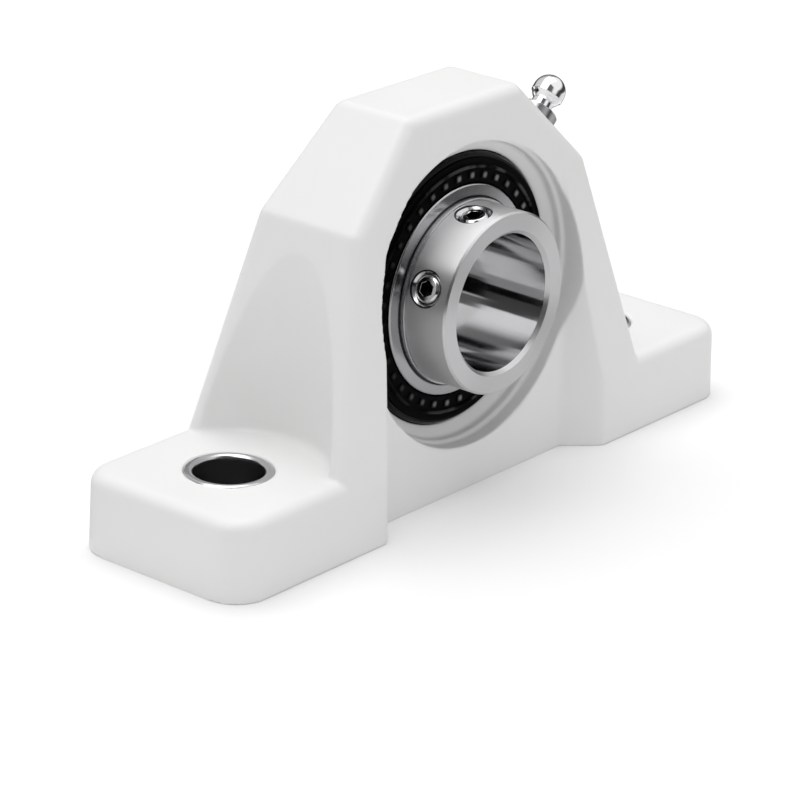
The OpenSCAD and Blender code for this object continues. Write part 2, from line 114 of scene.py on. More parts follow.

# Grease fitting: where its axis leaves the slope, the axis and the top of its hexagon
FITTING = Vector((34.29, 0, 68.31)) * MM
FITTING_AXIS = Vector((1, 0, 1)).normalized()
HEXAGON_TOP = 5.5 * MM

# The seals' faces lie at this distance from the middle, and beads and ribs stand out of them
SEAL_FACE = 9.9 * MM
RAISED = 0.15 * MM
BEAD_R = 26.2 * MM
RIB_COUNT = 36
RIB_TURN = 0.33
RIB_RADIUS = 25 * MM
# The painted highlight in the middle of a rib: where it starts to fade and where it ends
RIB_HIGHLIGHT_SPOT = (0.2 * MM, 0.85 * MM)
# The seal's painted highlights are fainter towards the left, as painted shade: from here to here in X
HIGHLIGHT_FADE_X = (-26 * MM, 4 * MM)

# The outer ring is coloured nearly black further out than this from the middle
RING_FACE = 7.4 * MM

# Section of the flinger's sleeve: radius and distance from the middle, in millimetres
SLEEVE_PROFILE = ((19.83, 10.6), (20.32, 10.6), (20.32, 11.72), (20.2, 11.86), (19.83, 11.86))
SLEEVE_STEPS = 144

# Opening in the housing's faces, where the moulding keeps crisper edges: its radius and the band
# round it, and its rim's distance from the middle and half sizes in radius and in Y
OPENING_R = 33.3 * MM
OPENING_BAND = 4 * MM
RECESS_Y = 15.9 * MM
RIM_HALF_R = 1.2 * MM
RIM_HALF_Y = 1.4 * MM

# Finishes: the plastics as dark and light colour and roughness, then colours, then roughness as a range
WHITE_PLASTIC = ((0.85, 0.85, 0.845), (0.88, 0.88, 0.875), 0.4)
NYLON = ((0.52, 0.48, 0.37), (0.62, 0.58, 0.46), 0.48)
MOULD_GRAIN = 0.004 * MM
# Painted shade at the set screws' mouths
MOUTH_PAINTED_SHADE = (0.02, 0.02, 0.021)
# Painted shade where the flinger meets the collar and in the screws' sockets
PAINTED_GAP_SHADE = (0.03, 0.03, 0.032)
RING_END_BLACK = (0.012, 0.012, 0.013)
RUBBER_BLACK = (0.0012, 0.0012, 0.0013)
# Painted highlight on the seal's bead and ribs
RUBBER_PAINTED_HIGHLIGHT = (0.2, 0.2, 0.2)
SLEEVE_TINT = (0.6, 0.6, 0.61)
SCREW_TINT = (0.8, 0.8, 0.81)
COLLAR_ROUGH = (0.07, 0.35)
COLLAR_RELIEF = 0.002 * MM
MOUTH_SMOOTHER = 0.2
FLINGER_ROUGH = (0.16, 0.28)
SCREW_ROUGH = (0.06, 0.16)
RING_ROUGH = (0.1, 0.3)
FITTING_ROUGH = (0.26, 0.1)
RUBBER_ROUGH = (0.45, 0.62)
# The collar's long sheen, and its quarter turn that lays it across the turning marks
COLLAR_SHEEN = 0.9
COLLAR_SHEEN_TURN = 0.25

# What metal sees behind the object: sectors round the shaft's direction, as low and high
# angle from +X towards +Z in degrees, and how dark they are
DARK_SECTORS = ((-30, 24, 1.0), (24, 56, 0.6), (56, 134, 0.3), (134, 154, 0.88), (154, 192, 1.0))
SOFT_END = math.radians(3)
# The dark side wall that the collar sees on its left, and the dark front, in the same way
DARK_SIDE = (143, 192, 0.93)
DARK_FRONT = (102, 196, 0.88)
# Where the front gives way to the side and the side to the back, along Y, and how the walls
# brighten from the floor up, along Z
FRONT_TO_SIDE = (-0.4, -0.2)
SIDE_TO_BACK = (0.2, 0.4)
WALL_RISE = (0.1, 0.32)
WALL_FOOT = 0.05
# The softbox overhead, as metal sees it: its sector, and where it starts and ends along Y
SOFTBOX = (50, 138)
SOFTBOX_FRONT = (-0.35, -0.15)
SOFTBOX_REAR = (0.4, 0.56)
SOFTBOX_GAIN = 2.1
# The floor as metal sees it: a bright sheet that ends here in front, and here to both sides behind
SHEET_REACH = 330 * MM
SHEET_LEFT = (-65 * MM, 0)
SHEET_RIGHT = (33 * MM, 39 * MM)
SHEET_BACK = (20 * MM, 28 * MM)
SHEET_DIM_LEFT = 0.85
SHEET_FRONT = (-30 * MM, 0)
SHEET_DIM_FRONT = 0.18
SHEET_GLOW = 0.35
# The floor's colour, its colour where metal sees it dark, and how much the camera sees it lifted
FLOOR_PALE = (0.93, 0.93, 0.93)
FLOOR_DARK = (0.08, 0.08, 0.08)
FLOOR_LIFT = 0.06
FLOOR_HALF = 3
FLOOR_DROP = 0.05 * MM

# Light: the world's strength for diffuse light, and the soft lamp overhead
WORLD_STRENGTH = 0.59
LAMP_PLACE = (0.04, 0.2, 1.2)
LAMP_SIDE = 1.2
LAMP_POWER = 9.4

# Moulded housing: grid of the rounding, its rounds and their strength, how freely the opening and the
# foot are rounded, height of that foot, how much the opening's rim is thinned, and the most triangles
MOULD_GRID = 0.3 * MM
MOULD_ROUNDS = 16
MOULD_STRENGTH = 0.5
OPENING_SOFTNESS = 0.45
FOOT_SOFTNESS = OPENING_SOFTNESS / 3
MOULD_FOOT = 2 * MM
RIM_THINNING = 0.03
MOULD_TRIANGLES = 190000

# Slot of the locking pin over the outer ring: half its size in X and Y, its height above the shaft
# and the room added on both sides for the pin's tilt
SLOT_SIDES = (4 * MM, 5 * MM)
SLOT_HEIGHT = (29 * MM, 36 * MM)
SLOT_ROOM = 0.15 * MM

# Turned faces: how far a normal may lean sideways, and how alike two slopes are to shade as one
TURNED_LIMIT = 0.05
SAME_CURVE = 0.93

# Machined pieces: width of each one's broken edges, their steps, which edges count as sharp and which
# faces as flat, and the axis of the pieces not turned about the shaft
EDGE_BREAKS = {
    "inner_ring": 0.15 * MM,
    "outer_ring": 0.2 * MM,
    "flinger_front": 0.12 * MM,
    "flinger_back": 0.12 * MM,
    "seal_front": 0.1 * MM,
    "seal_back": 0.1 * MM,
    "fitting_bushing": 0.25 * MM,
    "grease_fitting": 0.3 * MM,
    "set_screw_upper": 0.1 * MM,
    "set_screw_side": 0.1 * MM,
}
EDGE_SEGMENTS = 2
SHARP_EDGE = math.radians(25)
FLAT_ENOUGH = math.radians(0.5)
MERGE = 0.001 * MM
TURNED_ABOUT = {
    **SCREWS,
    "fitting_bushing": (FITTING, FITTING_AXIS),
    "grease_fitting": (FITTING, FITTING_AXIS),
}


def add(tree, kind, inputs=None, **settings):
    """A new shader node. Each input is set to a value or linked to another node's output."""
    node = tree.nodes.new("ShaderNode" + kind)
    for key, value in settings.items():
        setattr(node, key, value)
    for key, value in (inputs or {}).items():
        if isinstance(value, bpy.types.NodeSocket):
            tree.links.new(value, node.inputs[key])
        else:
            node.inputs[key].default_value = value
    return node


def maths(tree, operation, first, second=0.0):
    """The output of a Math node."""
    return add(tree, "Math", {0: first, 1: second}, operation=operation).outputs[0]


def between(tree, mask, low, high):
    """A value that goes from low to high with the mask."""
    return add(tree, "MapRange", {"Value": mask, "To Min": low, "To Max": high}).outputs[0]


def blended(tree, mask, dark, light):
    """A colour that goes from dark to light with the mask."""
    mix = add(tree, "Mix", {0: mask}, data_type="RGBA")
    for socket, colour in ((mix.inputs[6], dark), (mix.inputs[7], light)):
        socket.default_value = (*colour, 1)
    return mix.outputs[2]


def ramp(tree, value, low, high, start=0.0, end=1.0):
    """A smooth step of the value from low to high."""
    return add(tree, "MapRange", {"Value": value, "From Min": low, "From Max": high,
                                  "To Min": start, "To Max": end}, interpolation_type="SMOOTHSTEP").outputs[0]


def mixed(tree, share, first, second):
    """A value that goes from the first to the second with the share."""
    return add(tree, "Mix", {0: share, 2: first, 3: second}, data_type="FLOAT").outputs[0]


def wrapped(tree, angle, half):
    """The angle brought to lie between minus half and half."""
    return add(tree, "Math", {0: angle, 1: half, 2: -half}, operation="WRAP").outputs[0]


def open_group(name, inputs):
    """A node group with those inputs, and the node inside that brings them in."""
    group = bpy.data.node_groups.new(name, "ShaderNodeTree")
    for label, kind, value in inputs:
        group.interface.new_socket(label, in_out="INPUT", socket_type=kind).default_value = value
    return group, group.nodes.new("NodeGroupInput").outputs


def close_group(group, outputs):
    """Sends the named values out of the group."""
    for label in outputs:
        group.interface.new_socket(label, in_out="OUTPUT", socket_type="NodeSocketFloat")
    leave = group.nodes.new("NodeGroupOutput")
    for label, socket in outputs.items():
        group.links.new(socket, leave.inputs[label])
    return group


def make_lathe_marks():
    """Fine rings left by turning or grinding, round an axis through a centre."""
    group, given = open_group("lathe_marks", [
        ("Centre", "NodeSocketVector", (0, 0, 0)),
        ("Axis", "NodeSocketVector", (0, 0, 1)),
        ("Density", "NodeSocketFloat", 5000.0),
    ])
    place = add(group, "TexCoord").outputs["Object"]
    arm = add(group, "VectorMath", {0: place, 1: given["Centre"]}, operation="SUBTRACT").outputs[0]
    across = add(group, "VectorMath", {0: arm, 1: given["Axis"]}, operation="CROSS_PRODUCT").outputs[0]
    radius = add(group, "VectorMath", {0: across}, operation="LENGTH").outputs["Value"]
    along = add(group, "VectorMath", {0: arm, 1: given["Axis"]}, operation="DOT_PRODUCT").outputs["Value"]
    track = maths(group, "MULTIPLY", maths(group, "ADD", radius, along), given["Density"])
    fine = add(group, "TexNoise", {"W": track, "Scale": 1.0, "Detail": 3.0}, noise_dimensions="1D")
    wide = add(group, "TexNoise", {"W": track, "Scale": 0.08, "Detail": 1.0}, noise_dimensions="1D")
    return close_group(group, {"Lines": fine.outputs["Fac"], "Bands": wide.outputs["Fac"],
                               "Radius": radius, "Along": along})


def make_grain():
    """Fine grain and wide soft patches, the same on every side."""
    group, given = open_group("grain", [
        ("Grain Scale", "NodeSocketFloat", 1500.0),
        ("Patch Scale", "NodeSocketFloat", 60.0),
    ])
    place = add(group, "TexCoord").outputs["Object"]
    fine = add(group, "TexNoise", {"Vector": place, "Scale": given["Grain Scale"], "Detail": 2.0})
    wide = add(group, "TexNoise", {"Vector": place, "Scale": given["Patch Scale"], "Detail": 3.0})
    return close_group(group, {"Grain": fine.outputs["Fac"], "Patches": wide.outputs["Fac"]})


lathe_marks = make_lathe_marks()
grain = make_grain()


def place_group(tree, group, inputs):
    """A node group placed in a material, with its own values."""
    node = tree.nodes.new("ShaderNodeGroup")
    node.node_tree = group
    for key, value in inputs.items():
        node.inputs[key].default_value = value
    return node.outputs


def new_material(name):
    """A material with an empty node tree, its output and one Principled shader."""
    material = bpy.data.materials.new(name)
    material.use_nodes = True
    tree = material.node_tree
    tree.nodes.clear()
    output = tree.nodes.new("ShaderNodeOutputMaterial")
    shader = tree.nodes.new("ShaderNodeBsdfPrincipled")
    tree.links.new(shader.outputs["BSDF"], output.inputs["Surface"])
    return material, tree, shader


def finish_surface(tree, shader, colour, roughness, height, depth):
    """Links colour and roughness to the shader, and a relief of that depth to its normal."""
    bump = add(tree, "Bump", {"Height": height, "Distance": depth, "Strength": 1.0})
    tree.links.new(colour, shader.inputs["Base Color"])
    tree.links.new(roughness, shader.inputs["Roughness"])
    tree.links.new(bump.outputs["Normal"], shader.inputs["Normal"])


def moulded_plastic(name, dark, light, roughness, depth):
    """Plastic with a fine mould grain and faint patches."""
    material, tree, shader = new_material(name)
    shader.inputs["Specular IOR Level"].default_value = 0.32
    marks = place_group(tree, grain, {"Grain Scale": 2200.0, "Patch Scale": 45.0})
    colour = blended(tree, marks["Patches"], dark, light)
    rough = between(tree, marks["Patches"], roughness - 0.05, roughness + 0.07)
    finish_surface(tree, shader, colour, rough, marks["Grain"], depth)
    return material


def new_steel(name, centre, axis, density=5000.0, patches=130.0):
    """A metal with turning marks round an axis and soft patches, still to be coloured."""
    material, tree, shader = new_material(name)
    shader.inputs["Metallic"].default_value = 1
    rings = place_group(tree, lathe_marks, {"Centre": centre, "Axis": axis, "Density": density})
    marks = place_group(tree, grain, {"Grain Scale": 900.0, "Patch Scale": patches})
    return material, tree, shader, rings, marks


def marked_tint(tree, rings, marks, tint):
    """The steel's colour, a little darker in patches of its turning marks."""
    dark = tuple(0.9 * part for part in tint)
    return blended(tree, maths(tree, "MULTIPLY", rings["Lines"], marks["Patches"]), dark, tint)


def smudged(tree, marks, rough, amount):
    """A roughness with faint smudges."""
    return maths(tree, "ADD", rough, maths(tree, "MULTIPLY", marks["Patches"], amount))


def turned_steel(name, centre, axis, tint, roughness, depth):
    """Steel with rings from turning or grinding round an axis, and faint smudges."""
    material, tree, shader, rings, marks = new_steel(name, centre, axis)
    colour = marked_tint(tree, rings, marks, tint)
    rough = between(tree, rings["Bands"], roughness - 0.04, roughness + 0.04)
    finish_surface(tree, shader, colour, smudged(tree, marks, rough, 0.08), rings["Lines"], depth)
    return material


def collar_steel(name, tint):
    """Inner ring: ground in fine rings, with a smooth bore and bright mouths, with painted shade on their
    rims and in their threads.
    """
    material, tree, shader, rings, marks = new_steel(name, SHAFT, SHAFT_AXIS, density=16000.0)
    steel = marked_tint(tree, rings, marks, tint)
    painted_dark = bright = 0.0
    for centre, axis in SCREWS.values():
        hole = place_group(tree, lathe_marks, {"Centre": centre, "Axis": axis})
        outer = maths(tree, "GREATER_THAN", hole["Along"], 0)
        near = maths(tree, "MULTIPLY", outer, maths(tree, "LESS_THAN", hole["Radius"], MOUTH_R))
        cone = maths(tree, "MULTIPLY", maths(tree, "LESS_THAN", hole["Radius"], MOUTH_RIM),
                     maths(tree, "GREATER_THAN", hole["Radius"], THREAD_R))
        bright = maths(tree, "MAXIMUM", bright, maths(tree, "MULTIPLY", near, cone))
        # Painted shade: each mouth's rim and its thread are coloured dark; only the smooth cone between them
        # stays bright steel
        painted_dark = maths(tree, "MAXIMUM", painted_dark, maths(tree, "SUBTRACT", near, cone))
    colour = add(tree, "Mix", {0: painted_dark, 6: steel}, data_type="RGBA")
    colour.inputs[7].default_value = (*MOUTH_PAINTED_SHADE, 1)
    outside = maths(tree, "GREATER_THAN", rings["Radius"], BORE_R + 0.05 * MM)
    rough = smudged(tree, marks, between(tree, outside, *COLLAR_ROUGH), 0.05)
    rough = maths(tree, "SUBTRACT", rough, maths(tree, "MULTIPLY", bright, MOUTH_SMOOTHER))
    relief = maths(tree, "MULTIPLY", rings["Lines"], outside)
    finish_surface(tree, shader, colour.outputs[2], rough, relief, COLLAR_RELIEF)
    shader.inputs["Anisotropic"].default_value = COLLAR_SHEEN
    shader.inputs["Anisotropic Rotation"].default_value = COLLAR_SHEEN_TURN
    lay = add(tree, "Tangent", direction_type="RADIAL", axis="Y")
    tree.links.new(lay.outputs["Tangent"], shader.inputs["Tangent"])
    return material


def flinger_steel(name, tint):
    """Pressed flinger: bright, with painted shade where it meets the collar."""
    material, tree, shader, rings, marks = new_steel(name, SHAFT, SHAFT_AXIS)
    # Painted shade: the flinger is coloured dark inside this radius, where it meets the collar
    painted_joint_shade = ramp(tree, rings["Radius"], JOINT_R + FADE[0], JOINT_R + FADE[1], 1.0, 0.0)
    shade = maths(tree, "MAXIMUM", painted_joint_shade, maths(tree, "MULTIPLY", marks["Patches"], 0.12))
    colour = blended(tree, shade, tint, PAINTED_GAP_SHADE)
    rough = between(tree, marks["Patches"], *FLINGER_ROUGH)
    finish_surface(tree, shader, colour, rough, rings["Lines"], 0.0005 * MM)
    return material


def screw_steel(name, centre, axis):
    """Set screw: bright face, with painted shade in its deep socket."""
    material, tree, shader, rings, marks = new_steel(name, centre, axis, patches=400.0)
    # Painted shade: dark within the socket's radius everywhere below the screw's top, the middle of its inner
    # tip too
    inside = maths(tree, "MULTIPLY", maths(tree, "LESS_THAN", rings["Radius"], SOCKET_R),
                   maths(tree, "LESS_THAN", rings["Along"], SCREW_TOP))
    shade = maths(tree, "MAXIMUM", inside, maths(tree, "MULTIPLY", marks["Patches"], 0.15))
    colour = blended(tree, shade, SCREW_TINT, PAINTED_GAP_SHADE)
    rough = between(tree, marks["Patches"], *SCREW_ROUGH)
    finish_surface(tree, shader, colour, rough, rings["Lines"], 0.0002 * MM)
    return material


def rubber(name):
    """Black rubber with painted highlights on its bead and on the middles of its ribs, painted fainter
    towards the left as painted shade.
    """
    material, tree, shader = new_material(name)
    shader.inputs["Specular IOR Level"].default_value = 0.03
    marks = place_group(tree, grain, {"Grain Scale": 3000.0, "Patch Scale": 220.0})
    turned = place_group(tree, lathe_marks, {"Centre": SHAFT, "Axis": SHAFT_AXIS})
    arm = add(tree, "VectorMath", {0: add(tree, "TexCoord").outputs["Object"], 1: SHAFT},
              operation="SUBTRACT").outputs[0]
    across = add(tree, "SeparateXYZ", {0: arm}).outputs
    angle = maths(tree, "ARCTAN2", across["Z"], across["X"])
    step = math.tau / RIB_COUNT
    from_rib = maths(tree, "SUBTRACT", angle, RIB_TURN * step)
    sideways = maths(tree, "MULTIPLY", wrapped(tree, from_rib, step / 2), RIB_RADIUS)
    outwards = maths(tree, "SUBTRACT", turned["Radius"], RIB_RADIUS)
    distance = maths(tree, "SQRT", maths(tree, "ADD", maths(tree, "MULTIPLY", sideways, sideways),
                                         maths(tree, "MULTIPLY", outwards, outwards)))
    dot = maths(tree, "MULTIPLY", ramp(tree, distance, *RIB_HIGHLIGHT_SPOT, 1.0, 0.12),
                between(tree, marks["Patches"], 0.3, 1.7))
    patchy = ramp(tree, marks["Patches"], 0.42, 0.6, 0.0, 0.3)
    on_bead = maths(tree, "GREATER_THAN", turned["Radius"], BEAD_R)
    share = mixed(tree, on_bead, dot, patchy)
    # Painted highlights on the raised bead and ribs, fainter to the left as painted shade
    raised = maths(tree, "GREATER_THAN", maths(tree, "ABSOLUTE", turned["Along"]), SEAL_FACE + RAISED)
    lit_side_or_old_mesh = ramp(tree, across["X"], *HIGHLIGHT_FADE_X, 0.05, 1.0)
    painted_highlight = maths(tree, "MULTIPLY", maths(tree, "MULTIPLY", raised, lit_side_or_old_mesh), share)
    colour = blended(tree, painted_highlight, RUBBER_BLACK, RUBBER_PAINTED_HIGHLIGHT)
    rough = between(tree, marks["Patches"], *RUBBER_ROUGH)
    finish_surface(tree, shader, colour, rough, marks["Grain"], MOULD_GRAIN)
    return material


def ring_steel(name, tint):
    """Outer ring: steel, coloured nearly black at both ends."""
    material, tree, shader, rings, marks = new_steel(name, SHAFT, SHAFT_AXIS)
    end = maths(tree, "GREATER_THAN", maths(tree, "ABSOLUTE", rings["Along"]), RING_FACE)
    shade = maths(tree, "MAXIMUM", end, maths(tree, "MULTIPLY", marks["Patches"], 0.12))
    colour = blended(tree, shade, tint, RING_END_BLACK)
    rough = smudged(tree, marks, between(tree, end, *RING_ROUGH), 0.06)
    finish_surface(tree, shader, colour, rough, rings["Lines"], 0.0006 * MM)
    return material


def fitting_steel(name, tint, hexagon_tint):
    """Grease fitting: bright head and a duller hexagon."""
    material, tree, shader, rings, marks = new_steel(name, FITTING, FITTING_AXIS, patches=300.0)
    head = ramp(tree, rings["Along"], HEXAGON_TOP + FADE[0], HEXAGON_TOP + FADE[1])
    colour = blended(tree, head, hexagon_tint, tint)
    rough = smudged(tree, marks, between(tree, head, *FITTING_ROUGH), 0.05)
    finish_surface(tree, shader, colour, rough, rings["Lines"], 0.0002 * MM)
    return material


# The finish of each material slot
materials = {
    "white_plastic": moulded_plastic("white_plastic", *WHITE_PLASTIC, MOULD_GRAIN),
    "nylon": moulded_plastic("nylon", *NYLON, MOULD_GRAIN),
    "stainless": turned_steel("stainless", SHAFT, SHAFT_AXIS, (0.52, 0.52, 0.53), 0.1, 0.0006 * MM),
    "ground_steel": collar_steel("ground_steel", (0.72, 0.72, 0.73)),
    "polished_steel": turned_steel("polished_steel", SHAFT, SHAFT_AXIS, (0.8, 0.8, 0.81), 0.07,
                                   0.0002 * MM),
    "black_rubber": rubber("black_rubber"),
}
# Nodes with a finish of their own
bright_flinger = flinger_steel("flinger_steel", (0.47, 0.47, 0.48))
own_materials = {
    "flinger_front": bright_flinger,
    "flinger_back": bright_flinger,
    "outer_ring": ring_steel("ring_steel", (0.52, 0.52, 0.53)),
    **{name: screw_steel(name + "_steel", *where) for name, where in SCREWS.items()},
    **{"bolt_sleeve_" + name: turned_steel("sleeve_" + name, (side * SLEEVE_X, 0, 0), UPRIGHT, SLEEVE_TINT,
                                           0.16, 0.0004 * MM) for name, side in SIDES},
    "fitting_bushing": turned_steel("bushing_steel", FITTING, FITTING_AXIS, (0.75, 0.75, 0.76), 0.14,
                                    0.0003 * MM),
    "grease_fitting": fitting_steel("fitting_steel", (0.86, 0.86, 0.87), (0.4, 0.4, 0.41)),
}
slot_of = {part["node"]: part["material_slot"] for part in frame["record"]["subparts"]}


def material_of(node):
    """The material made for this node, or else that of its slot."""
    return own_materials.get(node, materials[slot_of[node]])


for node in slot_of:
    cad_mesh = frame["nodes"][node].data
    cad_mesh.materials.clear()
    cad_mesh.materials.append(material_of(node))


def placed(thing):
    """Puts a new object in the scene."""
    bpy.context.scene.collection.objects.link(thing)
    return thing


def made_of(name, shape, material):
    """An object made from a bmesh, in one material."""
    mesh = bpy.data.meshes.new(name)
    shape.to_mesh(mesh)
    shape.free()
    mesh.materials.append(material)
    return placed(bpy.data.objects.new(name, mesh))


def added_piece(name, shape, node, material):
    """Makes a piece from a bmesh that belongs to a CAD node: on the same body, in the material given."""
    piece = made_of(name, shape, material)
    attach(piece, body_of(frame["nodes"][node])[0])
    return piece


def new_piece(name, shape, node):
    """Makes a piece from a bmesh that stands for a CAD node, in the same finish."""
    piece = added_piece(name, shape, node, material_of(node))
    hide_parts(node)
    return piece


def merged_copy(node):
    """A bmesh copy of a CAD node's mesh, with its triangles joined."""
    shape = bmesh.new()
    shape.from_mesh(frame["nodes"][node].data)
    bmesh.ops.remove_doubles(shape, verts=shape.verts, dist=MERGE)
    return shape


def settle(piece):
    """Applies the piece's modifiers to its mesh."""
    graph = bpy.context.evaluated_depsgraph_get()
    graph.update()
    made = bpy.data.meshes.new_from_object(piece.evaluated_get(graph))
    lit_side_or_old_mesh = piece.data
    piece.modifiers.clear()
    piece.data = made
    bpy.data.meshes.remove(lit_side_or_old_mesh)


def shade_smooth(piece):
    """Smooth shading on every face."""
    piece.data.polygons.foreach_set("use_smooth", [True] * len(piece.data.polygons))


def in_slot(point):
    """Whether a point of the moulding lies in the locking pin's slot, which keeps its room."""
    return (abs(point.x) < SLOT_SIDES[0] and abs(point.y) < SLOT_SIDES[1]
            and SLOT_HEIGHT[0] < point.z - SHAFT.z < SLOT_HEIGHT[1])


def past_opening(point):
    """How far a point lies outside the opening's edge."""
    arm = point - SHAFT
    return math.hypot(arm.x, arm.z) - OPENING_R


def softness(point):
    """How freely the moulding is rounded there: less round the opening and at the foot, not in the slot."""
    if in_slot(point):
        return 0
    if point.z < MOULD_FOOT:
        return FOOT_SOFTNESS
    return OPENING_SOFTNESS if abs(past_opening(point)) < OPENING_BAND else 1


def at_mouth(point):
    """Whether a point of the moulding lies at the rim of the opening, front or back."""
    return (abs(past_opening(point)) < RIM_HALF_R
            and abs(abs(point.y) - RECESS_Y) < RIM_HALF_Y)


def make_housing():
    """The housing with the soft edges of a moulding."""
    piece = new_piece("housing_moulding", merged_copy("housing"), "housing")
    remesh = piece.modifiers.new("grid", "REMESH")
    remesh.mode = "VOXEL"
    remesh.voxel_size = MOULD_GRID
    settle(piece)
    soft = piece.vertex_groups.new(name="soft")
    for vertex in piece.data.vertices:
        soft.add([vertex.index], softness(vertex.co), "REPLACE")
        if in_slot(vertex.co):
            vertex.co.y += math.copysign(SLOT_ROOM, vertex.co.y)
    smooth = piece.modifiers.new("rounding", "SMOOTH")
    smooth.factor = MOULD_STRENGTH
    smooth.iterations = MOULD_ROUNDS
    smooth.vertex_group = soft.name
    settle(piece)
    thin = piece.vertex_groups.new(name="thin")
    for vertex in piece.data.vertices:
        share = 0 if in_slot(vertex.co) else RIM_THINNING if at_mouth(vertex.co) else 1
        thin.add([vertex.index], share, "REPLACE")
    decimate = piece.modifiers.new("fewer", "DECIMATE")
    decimate.vertex_group = thin.name
    decimate.ratio = min(1, MOULD_TRIANGLES / (2 * len(piece.data.polygons)))
    settle(piece)
    shade_smooth(piece)


def outward(point, centre, axis):
    """The direction from the axis to the point."""
    arm = point - centre
    return (arm - axis * arm.dot(axis)).normalized()


def true_normals(piece, centre, axis):
    """Gives turned faces the normals of their true round shape. Flat and drilled faces keep theirs."""
    mesh = piece.data
    turned = {}
    for face in mesh.polygons:
        out = outward(face.center, centre, axis)
        if abs(face.normal.dot(axis.cross(out))) < TURNED_LIMIT:
            turned[face.index] = Vector((face.normal.dot(out), face.normal.dot(axis)))
    meeting = {}
    for face in mesh.polygons:
        if face.index in turned:
            for corner in face.vertices:
                meeting.setdefault(corner, []).append((turned[face.index], face.area))
    normals = [corner.vector.copy() for corner in mesh.corner_normals]
    for face in mesh.polygons:
        if face.index not in turned:
            continue
        own = turned[face.index]
        for loop, corner in zip(face.loop_indices, face.vertices):
            slope = Vector((0, 0))
            for other, area in meeting[corner]:
                if other.dot(own) > SAME_CURVE:
                    slope += other * area
            out = outward(mesh.vertices[corner].co, centre, axis)
            normals[loop] = (out * slope.x + axis * slope.y).normalized()
    mesh.normals_split_custom_set(normals)


def make_machined(node, width):
    """A CAD node with its sharp edges broken, as a machined piece has them."""
    shape = merged_copy(node)
    bmesh.ops.dissolve_limit(shape, angle_limit=FLAT_ENOUGH, verts=shape.verts, edges=shape.edges)
    piece = new_piece(node + "_finished", shape, node)
    bevel = piece.modifiers.new("edges", "BEVEL")
    bevel.width = width
    bevel.segments = EDGE_SEGMENTS
    bevel.limit_method = "ANGLE"
    bevel.angle_limit = SHARP_EDGE
    bevel.harden_normals = True
    shade_smooth(piece)
    settle(piece)
    true_normals(piece, *TURNED_ABOUT.get(node, (SHAFT, SHAFT_AXIS)))


def make_flinger_sleeves():
    """The short sleeve with which each pressed flinger grips the collar."""
    steel = turned_steel("flinger_sleeve_steel", SHAFT, SHAFT_AXIS, (0.5, 0.5, 0.51), 0.24, 0.0004 * MM)
    for node, side in (("flinger_front", -1), ("flinger_back", 1)):
        shape = bmesh.new()
        rim = [shape.verts.new(SHAFT + Vector((radius, side * along, 0)) * MM)
               for radius, along in SLEEVE_PROFILE]
        edges = [shape.edges.new((rim[i - 1], rim[i])) for i in range(len(rim))]
        bmesh.ops.spin(shape, geom=rim + edges, cent=SHAFT, axis=SHAFT_AXIS, angle=math.tau,
                       steps=SLEEVE_STEPS, use_merge=True)
        bmesh.ops.recalc_face_normals(shape, faces=shape.faces)
        piece = added_piece(node + "_sleeve", shape, node, steel)
        shade_smooth(piece)
        true_normals(piece, SHAFT, SHAFT_AXIS)


def make_check_spring():
    """The fitting's spring, which the check ball presses together."""
    shape = merged_copy("check_spring")
    piece = new_piece("check_spring_coil", shape, "check_spring")
    shade_smooth(piece)
    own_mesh(piece)


make_housing()
for node, width in EDGE_BREAKS.items():
    make_machined(node, width)
make_flinger_sleeves()
make_check_spring()


def make_lamp():
    """The soft lamp overhead, turned to the object. Metal sees the softbox in its place."""
    lamp = bpy.data.lights.new("overhead", "AREA")
    lamp.shape = "RECTANGLE"
    lamp.size = lamp.size_y = LAMP_SIDE
    lamp.energy = LAMP_POWER
    holder = placed(bpy.data.objects.new("overhead", lamp))
    holder.location = LAMP_PLACE
    holder.rotation_euler = (-Vector(LAMP_PLACE)).to_track_quat("-Z", "Y").to_euler()
    holder.visible_glossy = False


def sector(tree, angle, low, high):
    """1 where the angle lies between low and high, in degrees, with soft ends."""
    middle, half = math.radians(low + high) / 2, math.radians(high - low) / 2
    off = wrapped(tree, maths(tree, "SUBTRACT", angle, middle), math.pi)
    return ramp(tree, maths(tree, "ABSOLUTE", off), half - SOFT_END, half + SOFT_END, 1.0, 0.0)


